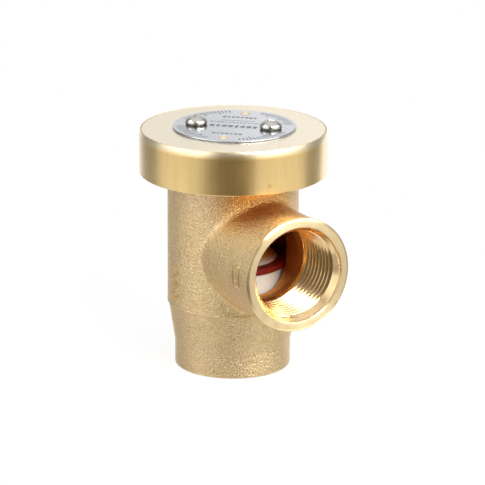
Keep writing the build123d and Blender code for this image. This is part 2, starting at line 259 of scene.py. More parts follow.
passage = np.concatenate([
    along_outlet(outlet_reach - thread_end, thread_crest_r)[None],
    np.stack([passage_x, inner_y + 0 * passage_x, inner_z + 0 * passage_x], -1),
])
inner_edge = window_edge(chamber_half, chamber_rows, chamber_low, chamber_high)
inner_patch = window_patch(chamber_r, np.arctan2(inner_y, inner_x), inner_z, inner_edge, 8)

# The hub widens to the barrel in a long cast curve that ends in a faint ridge.
foot = rounded(
    [(lead_in_r + mouth_chamfer, 0), (hub_r, 0), (hub_r, hub_length), (barrel_r - 0.35, barrel_start - 0.65),
     (barrel_r + ridge_height, barrel_start - 0.3), (barrel_r + ridge_height - 0.01, barrel_start - 0.1),
     (barrel_r, barrel_start + 0.12), (barrel_r, window_low)],
    (foot_round, hub_blend, 0.1, 0.05, 0.05, 0.05), 8,
)
top = [(barrel_r, window_high), (barrel_r, 59.0), (barrel_r, body_top - 0.2), (barrel_r - 0.2, body_top)]
top_bore = [(barrel_r - 0.2, body_top), (top_thread_r, body_top), (top_thread_r, bore_step),
            (chamber_r, bore_step), (chamber_r, chamber_high)]
seat = [(chamber_r, chamber_low), (chamber_r, chamber_floor), (seat_r, chamber_floor), (seat_r, seat_top),
        (inlet_passage_r, seat_top), (inlet_passage_r, thread_end), (thread_crest_r, thread_end)]
turn = -np.arange(columns + 1) / columns
depth, radius = thread(turn)
angle = 2 * np.pi * turn
inlet_thread = np.stack([radius * np.cos(angle), radius * np.sin(angle), depth], -1)
inlet_mouth = rounded(
    [(countersink_r, mouth_chamfer), (countersink_r + 0.05, 0.35), (lead_in_r + mouth_chamfer, 0),
     (lead_in_r + mouth_chamfer + 0.5, 0)],
    (0.05, 0.08), 4,
)
inlet_mouth[-1] = (lead_in_r + mouth_chamfer, 0)



def raised(u, v, half_u, half_v, lift, place):
    """A cast-on bar: a pad with sloping sides over (u, v), its four corners set on a surface by place(u, v, lift)."""
    steps = np.linspace(-1, 1, 9)
    rows = []
    for grow, rise in ((0.0, -0.3), (1.0, -0.3), (1.0, 0.0), (0.62, lift), (0.0, lift)):
        around = np.concatenate([
            np.stack([steps[:-1], -np.ones(8)], -1), np.stack([np.ones(8), steps[:-1]], -1),
            np.stack([-steps[:-1], np.ones(8)], -1), np.stack([-np.ones(8), -steps[:-1]], -1),
        ])
        rows.append(place(u + around[:, 0] * half_u * grow, v + around[:, 1] * half_v * grow, rise))
    return np.stack(rows)


def on_barrel(arc, height, lift):
    """Point on the barrel at an arc length round it from +X, at a height, standing off by lift."""
    angle = arc / barrel_r
    return np.stack([(barrel_r + lift) * np.cos(angle), (barrel_r + lift) * np.sin(angle), height], -1)


def on_boss(reach, arc, lift):
    """Point on the boss at a place along it, at an arc length round it from its horizontal left side."""
    angle = np.pi + arc / boss_r
    return np.stack([reach, (boss_r + lift) * np.cos(angle), outlet_z + (boss_r + lift) * np.sin(angle)], -1)


# Plain cast-on bars where a foundry puts its marks, rubbed bright: a ladder of long and short bars on
# the barrel, and a frame with two short bars inside it on the boss.
ladder_arc, ladder_foot, bar_spacing, bar_half_length, bar_half_width, bar_lift = -30.2, 21.6, 1.75, 2.2, 0.5, 0.55
frame_reach, frame_half_length, frame_half_width, line_half_width, line_lift = 30.1, 3.0, 1.75, 0.22, 0.3
casting_marks = []
for number in range(6):
    short = number % 2
    casting_marks.append(raised(
        ladder_arc + 0.6 * short, ladder_foot + bar_spacing * number,
        bar_half_length - 0.5 * short, bar_half_width, bar_lift, on_barrel,
    ))
for reach, arc, half_length, half_width, lift in (
    (frame_half_width, 0, line_half_width, frame_half_length + 0.1, line_lift),
    (0, frame_half_length, frame_half_width + 0.15, line_half_width, line_lift),
    (0, 1.1, 0.7, line_half_width, 0.26),
):
    for side in (-1, 1):
        casting_marks.append(raised(frame_reach + side * reach, side * arc, half_length, half_width, lift, on_boss))
skin, machined, inside, cut = 0, 1, 2, 3
valve_body = make_piece("cast_body", [
    (turned(foot[2:], columns), True, skin),
    (beside_window(barrel_r, window_half, window_rows, window_low, window_high), False, skin),
    (outer_patch, True, skin),
    (turned(top, columns), True, skin),
    (fillet, True, skin),
    (boss_wall, True, skin),
    (along_outlet(*rim.T[:, :, None]), True, skin),
    (along_outlet(*face.T[:, :, None]), True, machined),
    (outlet_thread, False, cut),
    (passage, True, inside),
    (inner_patch, True, inside),
    (turned(top_bore, columns), True, machined),
    (beside_window(chamber_r, chamber_half, chamber_rows, chamber_low, chamber_high), False, inside),
    (turned(seat, columns), True, inside),
    (inlet_thread, False, cut),
    (turned(inlet_mouth[:-1], columns), True, machined),
    (turned([(lead_in_r + mouth_chamfer, 0), tuple(foot[1]), tuple(foot[2])], columns), True, machined),
] + [(mark, True, machined) for mark in casting_marks])

# Sand-cast brass, shot blasted: a dull golden tan, peened all over into shallow dimples a third of a
# millimetre wide, with patches a few millimetres wide where the casting took the blast differently. Near
# the boss's shoulder under the hood its colour is painted a deeper orange, as painted shade and a painted
# reflection of the brass around it.
cast_brass = new_material("sand_cast_brass_shot_blasted")
place = add(cast_brass, "ShaderNodeTexCoord").outputs["Object"]
grain = add(cast_brass, "ShaderNodeTexNoise", {"Vector": place, "Scale": 1900.0, "Detail": 2.0, "Roughness": 0.65})
dimples = add(cast_brass, "ShaderNodeTexVoronoi", {"Vector": place, "Scale": 1500.0}, feature="SMOOTH_F1")
patches = add(cast_brass, "ShaderNodeTexNoise", {"Vector": place, "Scale": 420.0, "Detail": 3.0, "Roughness": 0.6})
wide = add(cast_brass, "ShaderNodeTexNoise", {"Vector": place, "Scale": 60.0, "Detail": 2.0})
tone = add(cast_brass, "ShaderNodeValToRGB", {"Fac": patches}, stops=((0.34, "#E2C28C"), (0.66, "#F2D5A4")))
hue = add(cast_brass, "ShaderNodeValToRGB", {"Fac": wide}, stops=((0.35, "#E2CB98"), (0.65, "#E2C59E")))
blend = add(cast_brass, "ShaderNodeMix", {"Factor": 0.5, 6: tone, 7: hue}, data_type="RGBA")
speck = add(cast_brass, "ShaderNodeMapRange", {
    "Value": grain, "From Min": 0.3, "From Max": 0.7, "To Min": 0.8, "To Max": 1.18})
skin_colour = add(
    cast_brass, "ShaderNodeMix", {"Factor": 1.0, 6: blend.outputs[2], 7: speck},
    data_type="RGBA", blend_type="MULTIPLY")
# Painted shade and painted reflection: near the boss's shoulder under the hood the colour is multiplied towards deep
# orange.
apart = add(cast_brass, "ShaderNodeVectorMath", {0: place, 1: (0.02, -0.002, 0.055)}, operation="DISTANCE")
underhood_painted_shade = add(cast_brass, "ShaderNodeMapRange", {
    "Value": apart.outputs["Value"], "From Min": 0.005, "From Max": 0.018, "To Min": 0.8, "To Max": 0.0},
    interpolation_type="SMOOTHSTEP")
skin_colour = add(
    cast_brass, "ShaderNodeMix", {"Factor": underhood_painted_shade, 6: skin_colour.outputs[2], 7: linear("#FFD898")},
    data_type="RGBA", blend_type="MULTIPLY")
relief = add(cast_brass, "ShaderNodeBump", {"Height": patches, "Strength": 0.45, "Distance": 0.00025})
relief = add(cast_brass, "ShaderNodeBump", {"Height": dimples, "Strength": 0.6, "Distance": 0.0002, "Normal": relief})
relief = add(cast_brass, "ShaderNodeBump", {"Height": grain, "Strength": 1.0, "Distance": 0.0003, "Normal": relief})
dull = add(cast_brass, "ShaderNodeMapRange", {
    "Value": patches, "From Min": 0.3, "From Max": 0.7, "To Min": 0.46, "To Max": 0.36})
metal = add(cast_brass, "ShaderNodeBsdfPrincipled", {
    "Base Color": skin_colour.outputs[2], "Metallic": 1.0, "Roughness": dull, "Normal": relief})
add(cast_brass, "ShaderNodeOutputMaterial", {"Surface": metal})

# Machined brass: bright yellow metal with fine cutting lines round the outlet's axis on the faces,
# drawn 0.25 mm apart, coarser than a real tool leaves, so that they show.
bored_brass = new_material("machined_brass")
place = add(bored_brass, "ShaderNodeTexCoord").outputs["Object"]
at_outlet = add(bored_brass, "ShaderNodeMapping", {"Vector": place, "Location": (0, 0, -outlet_z / 1000)})
lines = add(bored_brass, "ShaderNodeTexWave", {
    "Vector": at_outlet, "Scale": 1250.0, "Distortion": 0.2, "Detail": 1.0},
            wave_type="RINGS", rings_direction="X")
around = add(bored_brass, "ShaderNodeVectorMath", {0: (1, 0, 0), 1: at_outlet}, operation="CROSS_PRODUCT")
smudge = add(bored_brass, "ShaderNodeTexNoise", {"Vector": place, "Scale": 350.0, "Detail": 4.0})
relief = add(bored_brass, "ShaderNodeBump", {"Height": lines.outputs["Fac"], "Strength": 0.1, "Distance": 0.00001})
dull = add(bored_brass, "ShaderNodeMapRange", {
    "Value": smudge, "From Min": 0.3, "From Max": 0.7, "To Min": 0.26, "To Max": 0.32})
warm = add(bored_brass, "ShaderNodeValToRGB", {"Fac": smudge}, stops=((0.3, "#EDD2A0"), (0.7, "#F7E0B0")))
metal = add(bored_brass, "ShaderNodeBsdfPrincipled", {
    "Base Color": warm, "Metallic": 1.0, "Roughness": dull, "Normal": relief,
    "Anisotropic": 0.9, "Anisotropic Rotation": 0.25, "Tangent": around})
add(bored_brass, "ShaderNodeOutputMaterial", {"Surface": metal})

valve_body.data.materials.append(cast_brass)
valve_body.data.materials.append(bored_brass)

# Inside the chamber the brass is left as bored and has dulled to a deep orange brown.
dull_brass = new_material("dulled_brass_inside")
place = add(dull_brass, "ShaderNodeTexCoord").outputs["Object"]
stain = add(dull_brass, "ShaderNodeTexNoise", {"Vector": place, "Scale": 180.0, "Detail": 4.0})
tone = add(dull_brass, "ShaderNodeValToRGB", {"Fac": stain}, stops=((0.3, "#D8944A"), (0.7, "#E8A85C")))
relief = add(dull_brass, "ShaderNodeBump", {"Height": stain, "Strength": 0.3, "Distance": 0.0002})
metal = add(dull_brass, "ShaderNodeBsdfPrincipled", {
    "Base Color": tone, "Metallic": 1.0, "Roughness": 0.5, "Normal": relief})
add(dull_brass, "ShaderNodeOutputMaterial", {"Surface": metal})
valve_body.data.materials.append(dull_brass)

# The threads are freshly cut, smoother than the faces and a little deeper in colour, with a trace of
# oil left in their grooves.
thread_brass = new_material("freshly_cut_thread_brass")
place = add(thread_brass, "ShaderNodeTexCoord").outputs["Object"]
oil = add(thread_brass, "ShaderNodeTexNoise", {"Vector": place, "Scale": 260.0, "Detail": 3.0})
tone = add(thread_brass, "ShaderNodeValToRGB", {"Fac": oil}, stops=((0.3, "#EAC892"), (0.7, "#F5D9A8")))
relief = add(thread_brass, "ShaderNodeBump", {"Height": oil, "Strength": 0.2, "Distance": 0.00005})
metal = add(thread_brass, "ShaderNodeBsdfPrincipled", {
    "Base Color": tone, "Metallic": 1.0, "Roughness": 0.2, "Normal": relief})
add(thread_brass, "ShaderNodeOutputMaterial", {"Surface": metal})
valve_body.data.materials.append(thread_brass)
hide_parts("valve_body")
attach(valve_body, "valve")


# ---- Bonnet gasket
# Flat black fibre-reinforced rubber ring, squeezed between the body's rim and the bonnet's flange.

gasket_rubber = new_material("gasket_rubber")
place = add(gasket_rubber, "ShaderNodeTexCoord").outputs["Object"]
fibre = add(gasket_rubber, "ShaderNodeTexNoise", {"Vector": place, "Scale": 1400.0, "Detail": 3.0})
tone = add(gasket_rubber, "ShaderNodeValToRGB", {"Fac": fibre}, stops=((0.35, "#1B1B1A"), (0.75, "#35342F")))
relief = add(gasket_rubber, "ShaderNodeBump", {"Height": fibre, "Strength": 0.5, "Distance": 0.0001})
rubber = add(gasket_rubber, "ShaderNodeBsdfPrincipled", {"Base Color": tone, "Roughness": 0.75, "Normal": relief})
add(gasket_rubber, "ShaderNodeOutputMaterial", {"Surface": rubber})
gasket = frame["nodes"]["bonnet_gasket"]
gasket.data.materials.clear()
gasket.data.materials.append(gasket_rubber)


# ---- Bonnet
# Turned brass ring screwed into the top of the body. Its lip below is the air seat, and its bridge
# carries the two pillars that the hood stands on.

turned_brass = new_material("turned_brass_satin")
place = add(turned_brass, "ShaderNodeTexCoord").outputs["Object"]
lines = add(
    turned_brass, "ShaderNodeTexWave", {"Vector": place, "Scale": 1250.0, "Distortion": 0.4},
    wave_type="RINGS", rings_direction="Z")
smudge = add(turned_brass, "ShaderNodeTexNoise", {"Vector": place, "Scale": 240.0, "Detail": 4.0})
relief = add(turned_brass, "ShaderNodeBump", {"Height": lines.outputs["Fac"], "Strength": 0.2, "Distance": 0.00002})
dull = add(turned_brass, "ShaderNodeMapRange", {
    "Value": smudge, "From Min": 0.3, "From Max": 0.7, "To Min": 0.25, "To Max": 0.36})
warm = add(turned_brass, "ShaderNodeValToRGB", {"Fac": smudge}, stops=((0.3, "#EACB88"), (0.7, "#F2D696")))
metal = add(turned_brass, "ShaderNodeBsdfPrincipled", {
    "Base Color": warm, "Metallic": 1.0, "Roughness": dull, "Normal": relief})
add(turned_brass, "ShaderNodeOutputMaterial", {"Surface": metal})
bonnet = frame["nodes"]["bonnet"]
bonnet.data.materials.clear()
bonnet.data.materials.append(turned_brass)


# ---- Hood
# Turned brass cap, faced flat on top and finished with fine cloth all round, held clear of the barrel
# so that air can rise under its lip.

hood_r, hood_wall, hood_top, hood_underside, hood_bottom = 27.2, 1.8, 70.512, 67.912, 57.712
hood_face_r, shoulder_height, hood_inner_round, hood_lip = 26.8, 2.3, 1.6, 0.4
shoulder_step = hood_r - hood_face_r
shoulder_r = (shoulder_height**2 + shoulder_step**2) / (2 * shoulder_step)
shoulder_angle = np.linspace(math.asin(shoulder_height / shoulder_r), 0, 13)
shoulder = np.stack([
    hood_r - shoulder_r * (1 - np.cos(shoulder_angle)),
    hood_top - shoulder_height + shoulder_r * np.sin(shoulder_angle),
], -1)
inner_r = hood_r - hood_wall
skirt = rounded(
    [(hood_r, hood_top - shoulder_height - 0.1), (hood_r, hood_bottom), (inner_r, hood_bottom),
     (inner_r, hood_underside), (0, hood_underside)],
    (hood_lip, hood_lip, hood_inner_round), 8,
)
groove_r, groove_half_width, groove_depth = hood_face_r - 0.2, 0.1, 0.28
face_rings = np.stack([np.linspace(0, groove_r - groove_half_width, 12), np.full(12, hood_top)], -1)
groove_rings = [(groove_r - groove_half_width, hood_top), (groove_r, hood_top - groove_depth),
                (groove_r + groove_half_width, hood_top), (hood_face_r, hood_top)]
turned_bright, dulled, in_groove = 0, 1, 2
hood = make_piece("hood_cap", [
    (turned(face_rings), True, turned_bright), (turned(groove_rings), True, in_groove),
    (turned(np.concatenate([shoulder, skirt[:-10]])), True, turned_bright), (turned(skirt[-11:]), True, dulled),
], 18)

# Satin turned brass, paler than the body: pale gold with hair-fine lines round the skirt and rings on
# the faced top. The lines are 0.1 to 0.3 mm apart, coarser than real ones, so that they show. The top and
# the shoulder's upper half are painted palest, a painted highlight; the skirt is painted darker towards
# its top, a painted shade; and one small spot on the skirt is painted darker, the shade of a small dent.
hood_brass = new_material("satin_turned_pale_brass")
place = add(hood_brass, "ShaderNodeTexCoord").outputs["Object"]
rings = add(
    hood_brass, "ShaderNodeTexWave", {"Vector": place, "Scale": 1050.0, "Distortion": 0.5, "Detail": 1.0},
    wave_type="RINGS", rings_direction="Z")
stretched = add(hood_brass, "ShaderNodeMapping", {"Vector": place, "Scale": (60, 60, 5200)})
hairlines = add(hood_brass, "ShaderNodeTexNoise", {
    "Vector": stretched, "Scale": 1.0, "Detail": 3.0, "Roughness": 0.7})
smudge = add(hood_brass, "ShaderNodeTexNoise", {"Vector": place, "Scale": 120.0, "Detail": 2.0})
relief = add(hood_brass, "ShaderNodeBump", {"Height": rings.outputs["Fac"], "Strength": 0.05, "Distance": 0.00001})
relief = add(hood_brass, "ShaderNodeBump", {
    "Height": hairlines, "Strength": 0.15, "Distance": 0.00002, "Normal": relief})
dull = add(hood_brass, "ShaderNodeMapRange", {
    "Value": smudge, "From Min": 0.3, "From Max": 0.7, "To Min": 0.26, "To Max": 0.31})
streaked = add(hood_brass, "ShaderNodeMapping", {"Vector": place, "Scale": (700, 700, 50)})
streaks = add(hood_brass, "ShaderNodeTexNoise", {"Vector": streaked, "Scale": 1.0, "Detail": 3.0})
warm = add(hood_brass, "ShaderNodeValToRGB", {"Fac": streaks}, stops=((0.25, "#F0CC84"), (0.75, "#F9D993")))
height = add(hood_brass, "ShaderNodeSeparateXYZ", {"Vector": place})
# Painted highlight: the top and the upper half of the shoulder are mixed towards a pale cream.
painted_highlight_share = add(hood_brass, "ShaderNodeMapRange", {"Value": height.outputs["Z"], "From Min": 0.0684, "From Max": 0.0698})
paler = add(hood_brass, "ShaderNodeMix", {"Factor": painted_highlight_share, 6: warm, 7: linear("#FAEBC8")}, data_type="RGBA")
# Painted shade: the upper part of the skirt is mixed towards a darker brown, more so higher up.
shade = add(hood_brass, "ShaderNodeMapRange", {
    "Value": height.outputs["Z"], "From Min": 0.06, "From Max": 0.0682, "To Min": 0.0, "To Max": 0.22})
low = add(hood_brass, "ShaderNodeMath", {0: height.outputs["Z"], 1: 0.0682}, operation="LESS_THAN")
shade = add(hood_brass, "ShaderNodeMath", {0: shade, 1: low}, operation="MULTIPLY")
paler = add(
    hood_brass, "ShaderNodeMix", {"Factor": shade, 6: paler.outputs[2], 7: linear("#B89858")},
    data_type="RGBA")
# Painted shade of a small dent on the skirt: a small darker spot.
apart = add(hood_brass, "ShaderNodeVectorMath", {0: place, 1: (0.027, -0.0033, 0.0604)}, operation="DISTANCE")
painted_dent_shade = add(hood_brass, "ShaderNodeMapRange", {
    "Value": apart.outputs["Value"], "From Min": 0.0003, "From Max": 0.0009, "To Min": 0.28, "To Max": 0.0})
paler = add(
    hood_brass, "ShaderNodeMix", {"Factor": painted_dent_shade, 6: paler.outputs[2], 7: linear("#7A6030")},
    data_type="RGBA")
metal = add(hood_brass, "ShaderNodeBsdfPrincipled", {
    "Base Color": paler.outputs[2], "Metallic": 1.0, "Roughness": dull, "Normal": relief,
    "Coat Weight": 1.0, "Coat Roughness": 0.22, "Coat IOR": 1.5})
add(hood_brass, "ShaderNodeOutputMaterial", {"Surface": metal})
hood.data.materials.append(hood_brass)
hood.data.materials.append(dull_brass)
hood.data.materials.append(cast_brass)
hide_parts("hood")
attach(hood, "valve")


# ---- Nameplate
# Thin aluminium disc, lightly brushed and clear lacquered, laid on the hood and held by the two screws
# and two drive pins. It carries only a plain ring of division marks and ruled bars.

plate_r, plate_thickness, plate_chamfer, bright_edge = 17.8, 0.55, 0.15, 0.28
plate_top = hood_top + plate_thickness
plate_section = rounded(
    [(0, plate_top), (plate_r - plate_chamfer, plate_top), (plate_r, plate_top - plate_chamfer),
     (plate_r, plate_top - bright_edge), (plate_r, hood_top), (0, hood_top)],
    (0.05, 0.05, 0.0, 0.0), 4,
)
screw_azimuth, plate_shift = math.radians(48), 1.3
plate_centre = (-plate_shift * math.sin(screw_azimuth), plate_shift * math.cos(screw_azimuth))


def mark(across, along, half_width, half_length, turn):
    """A thin inked bar: a flat box with its middle at (across, along) from the plate's centre, turned by an angle."""
    def turn_by(angle):
        return np.array([[math.cos(angle), math.sin(angle)], [-math.sin(angle), math.cos(angle)]])

    side = np.array([[-1, -1], [1, -1], [1, 1], [-1, 1]]) * (half_width, half_length)
    side = side @ turn_by(turn) + (across, along)
    side = side @ turn_by(screw_azimuth) + plate_centre
    middle = np.tile(side.mean(0), (4, 1))
    heights = np.array([-0.02, -0.02, 0.01, 0.01])[:, None, None] + plate_top
    return np.concatenate([np.stack([middle, side, side, middle]), np.tile(heights, (1, 4, 1))], -1)


# A ring of divisions round the edge, long every fifth, left out beside the screws and the pins, and
# ruled bars of different widths across the middle.
marks, division_r = [], 16.8
for step in range(90):
    angle = step * math.radians(4)
    if min(abs(math.sin(angle)), abs(math.cos(angle))) > 0.26:
        reach = 1.7 if step % 5 == 0 else 1.1
        middle_r = division_r - reach
        marks.append(mark(middle_r * math.cos(angle), middle_r * math.sin(angle), reach, 0.22, angle))
for height, half_length, spacing, half_thickness in (
    (-1.3, 7.2, 1.8, 1.2), (3.0, 8.0, 1.1, 0.4), (5.2, 5.0, 0.9, 0.35), (9.0, 5.6, 1.3, 0.8), (-9.6, 4.6, 1.3, 0.7),
):
    for number in range(int(2 * half_length / spacing)):
        half_width = spacing * (0.4, 0.28, 0.36)[number % 3]
        marks.append(mark(-half_length + spacing * (number + 0.5), height, half_width, half_thickness, 0))

# The plate's upper face and the upper half of its edge are bright metal; the lower half of the edge
# takes the dark ink, as a painted shadow of the gap under the plate.
bright, dark = 0, 1
nameplate = make_piece("name_disc", [
    (turned(section, 300, plate_centre), True, finish)
    for section, finish in ((plate_section[:12], bright), (plate_section[11:17], dark), (plate_section[16:], bright))
] + [(grid, True, dark) for grid in marks], 30)
plate_metal = new_material("brushed_aluminium_sheet")
place = add(plate_metal, "ShaderNodeTexCoord").outputs["Object"]
drawn = add(plate_metal, "ShaderNodeMapping", {
    "Vector": place, "Rotation": (0, 0, math.radians(-42)), "Scale": (120, 4000, 120)})
brushing = add(plate_metal, "ShaderNodeTexNoise", {"Vector": drawn, "Scale": 1.0, "Detail": 3.0})
relief = add(plate_metal, "ShaderNodeBump", {"Height": brushing, "Strength": 0.2, "Distance": 0.00002})
tone = add(plate_metal, "ShaderNodeValToRGB", {"Fac": brushing}, stops=((0.3, "#CDD0D6"), (0.7, "#DDDFE4")))
metal = add(plate_metal, "ShaderNodeBsdfPrincipled", {
    "Base Color": tone, "Metallic": 1.0, "Roughness": 0.22, "Normal": relief})
add(plate_metal, "ShaderNodeOutputMaterial", {"Surface": metal})
nameplate.data.materials.append(plate_metal)
# The dark grey serves the printed marks, and on the plate's lower edge it is painted shadow.
ink_and_edge_shadow = new_material("dark_grey_ink_and_painted_edge_shadow")
place = add(ink_and_edge_shadow, "ShaderNodeTexCoord").outputs["Object"]
wear = add(ink_and_edge_shadow, "ShaderNodeTexNoise", {"Vector": place, "Scale": 1200.0, "Detail": 2.0})
tone = add(ink_and_edge_shadow, "ShaderNodeValToRGB", {"Fac": wear}, stops=((0.3, "#55585E"), (0.7, "#7C8087")))
paint = add(ink_and_edge_shadow, "ShaderNodeBsdfPrincipled", {"Base Color": tone, "Roughness": 0.6})
add(ink_and_edge_shadow, "ShaderNodeOutputMaterial", {"Surface": paint})
nameplate.data.materials.append(ink_and_edge_shadow)
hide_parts("nameplate")
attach(nameplate, "valve")


# ---- Nameplate pins
# Two brass drive pins with low domed heads, hammered through the plate into the hood.

pin_circle_r, pin_head_r, pin_head_height, pin_shank_r, pin_length = 14.2, 1.55, 0.6, 0.8, 2.4
pin_crown_r = (pin_head_r**2 + pin_head_height**2) / (2 * pin_head_height)
dome = np.linspace(0, math.asin(pin_head_r / pin_crown_r), 13)
pin_section = np.concatenate([
    np.stack([pin_crown_r * np.sin(dome), plate_top + pin_head_height - pin_crown_r * (1 - np.cos(dome))], -1),
    [(pin_shank_r, plate_top), (pin_shank_r, plate_top - pin_length), (0, plate_top - pin_length)],
])
pin_places = [
    (-reach * math.sin(screw_azimuth), reach * math.cos(screw_azimuth))
    for reach in (plate_shift + pin_circle_r, plate_shift - pin_circle_r)
]
pins = make_piece("drive_pins", [(turned(pin_section, 48, centre), True, 0) for centre in pin_places], 30)
# The pins stand above the hood's top, so they take its pale painted highlight colour in full.
pins.data.materials.append(hood_brass)
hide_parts("nameplate_pins")
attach(pins, "valve")


# ---- Hood screws
# Two stainless round-head screws with a pressed cross recess, through plate and hood into the pillars.

screw_circle_r, screw_head_r, head_height, head_side, shank_r, screw_length = 11.0, 3.2, 2.65, 0.7, 1.7, 11.0
recess_width, recess_length, recess_depth = 0.7, 2.6, 0.8


def cross_recess(x, y, width, length, depth):
    """Depth of a pressed cross: full inside either arm, rising to nothing over its tapered walls."""
    def arm(u, v):
        across = np.clip((width / 2 + 0.12 - np.abs(v)) / 0.24, 0, 1)
        along = np.clip((length / 2 + 0.15 - np.abs(u)) / 0.9, 0, 1)
        return across * along
    return depth * np.maximum(arm(x, y), arm(y, x))


def screw_head(centre, turn):
    """Grid of a round head: half an ellipse on a short upright side, with the cross recess sunk in it.

    The recess has a flat floor at its full depth below the crown's top, and never lifts the crown.
    """
    ray = screw_head_r * np.sin(np.linspace(0, math.pi / 2, 49))[:, None]
    angle = np.arange(144) * 2 * np.pi / 144
    x, y = ray * np.cos(angle), ray * np.sin(angle)
    crown = head_side + (head_height - head_side) * np.sqrt(1 - (ray / screw_head_r) ** 2)
    u, v = x * math.cos(turn) + y * math.sin(turn), y * math.cos(turn) - x * math.sin(turn)
    sunk = crown - cross_recess(u, v, recess_width, recess_length, recess_depth)
    z = np.maximum(sunk, np.minimum(crown, head_height - recess_depth))
    return np.stack([centre[0] + x, centre[1] + y, plate_top + z], -1)


screw_grids = []
for azimuth, turn in ((screw_azimuth, 0.35), (screw_azimuth + math.pi, 0.9)):
    centre = (screw_circle_r * math.cos(azimuth), screw_circle_r * math.sin(azimuth))
    # The second finish, on each head's side and shank, carries painted shade.
    side = [(screw_head_r, plate_top + head_side), (screw_head_r, plate_top + 0.5),
            (screw_head_r - 0.1, plate_top + 0.25), (screw_head_r - 0.35, plate_top),
            (shank_r, plate_top), (shank_r, plate_top + 0.4 - screw_length),
            (shank_r - 0.4, plate_top - screw_length), (0, plate_top - screw_length)]
    screw_grids += [(screw_head(centre, turn), True, 0), (turned(side, 144, centre), True, 1)]
screws = make_piece("round_head_screws", screw_grids, 35)
stainless = new_material("stainless_steel_bright")
place = add(stainless, "ShaderNodeTexCoord").outputs["Object"]
smudge = add(stainless, "ShaderNodeTexNoise", {"Vector": place, "Scale": 900.0, "Detail": 3.0})
relief = add(stainless, "ShaderNodeBump", {"Height": smudge, "Strength": 0.15, "Distance": 0.00003})
dull = add(stainless, "ShaderNodeMapRange", {
    "Value": smudge, "From Min": 0.3, "From Max": 0.7, "To Min": 0.17, "To Max": 0.25})
metal = add(stainless, "ShaderNodeBsdfPrincipled", {
    "Base Color": linear("#CBC9C2"), "Metallic": 1.0, "Roughness": dull, "Normal": relief})
add(stainless, "ShaderNodeOutputMaterial", {"Surface": metal})
screws.data.materials.append(stainless)

# The heads' sides and the shanks are duller than the polished crowns, and darker as painted shade under the heads'
# rims.
painted_shade_steel = new_material("stainless_steel_painted_shade")
metal = add(painted_shade_steel, "ShaderNodeBsdfPrincipled", {
    "Base Color": linear("#6E6A60"), "Metallic": 1.0, "Roughness": 0.35})
add(painted_shade_steel, "ShaderNodeOutputMaterial", {"Surface": metal})
screws.data.materials.append(painted_shade_steel)
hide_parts("hood_screws")
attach(screws, "valve")


# ---- Float cup
# White moulded acetal cup that closes the inlet when no water flows. It carries the seal disc.

cup_r, cup_wall, cup_floor, cup_chamfer, post_r = 14.8, 3.0, 2.0, 1.0, 4.2
cup_bottom, seal_bottom, seal_top, retainer_top = 21.812, 30.312, 32.212, 38.212
retainer_recess, retainer_floor = 1.2, 2.0
post_top = retainer_top - retainer_recess - retainer_floor
cup_section = rounded(
    [(0, cup_bottom), (cup_r - cup_chamfer, cup_bottom), (cup_r, cup_bottom + cup_chamfer), (cup_r, seal_bottom),
     (cup_r - cup_wall, seal_bottom), (cup_r - cup_wall, cup_bottom + cup_floor), (post_r, cup_bottom + cup_floor),
     (post_r, post_top), (0, post_top)],
    (0.3, 0.3, 0.2, 0.2, 0.5, 0.4, 0.2), 5,
)
cup = make_piece("float_cup_moulding", [(turned(cup_section, 240), True, 0)], 40)
acetal = new_material("white_acetal_moulded")
place = add(acetal, "ShaderNodeTexCoord").outputs["Object"]
orange_peel = add(acetal, "ShaderNodeTexNoise", {"Vector": place, "Scale": 900.0, "Detail": 2.0})
tone = add(acetal, "ShaderNodeValToRGB", {"Fac": orange_peel}, stops=((0.3, "#E4E8DE"), (0.7, "#ECEFE6")))
relief = add(acetal, "ShaderNodeBump", {"Height": orange_peel, "Strength": 0.15, "Distance": 0.00005})
plastic = add(acetal, "ShaderNodeBsdfPrincipled", {
    "Base Color": tone, "Roughness": 0.32, "IOR": 1.48, "Normal": relief})
add(acetal, "ShaderNodeOutputMaterial", {"Surface": plastic})
cup.data.materials.append(acetal)
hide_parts("float_cup")
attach(cup, "float")


# ---- Seal disc
# Flat red silicone washer, stamped from sheet and clamped by its rim. It closes the air seat when the
# float is up, and is drawn thinner by seat_gap so that the two don't share a face there.

seal_r, seal_hole_r, seat_gap = 15.5, 4.3, 0.02
seal_face = seal_top - seat_gap
seal_section = rounded(
    [(10, seal_bottom), (seal_r, seal_bottom), (seal_r, seal_face), (seal_hole_r, seal_face),
     (seal_hole_r, seal_bottom), (10, seal_bottom)],
    (0.25, 0.25, 0.1, 0.1), 5,
)
seal = make_piece("red_seal_disc", [(turned(seal_section, 240), True, 0)], 40)
silicone = new_material("red_silicone_sheet")
place = add(silicone, "ShaderNodeTexCoord").outputs["Object"]
bloom = add(silicone, "ShaderNodeTexNoise", {"Vector": place, "Scale": 700.0, "Detail": 3.0})
tone = add(silicone, "ShaderNodeValToRGB", {"Fac": bloom}, stops=((0.3, "#78140A"), (0.7, "#8E2212")))
relief = add(silicone, "ShaderNodeBump", {"Height": bloom, "Strength": 0.2, "Distance": 0.00005})
rubber = add(silicone, "ShaderNodeBsdfPrincipled", {
    "Base Color": tone, "Roughness": 0.5, "IOR": 1.41, "Normal": relief})
add(silicone, "ShaderNodeOutputMaterial", {"Surface": rubber})
seal.data.materials.append(silicone)
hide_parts("seal_disc")
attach(seal, "float")


# ---- Disc retainer
# White moulded acetal cone that clamps the seal disc and sits on the cup's post, with a recess for the
# screw. Its upper part is painted amber with a cloudy edge, a painted reflection of the orange light
# bounced onto it from the brass around it.

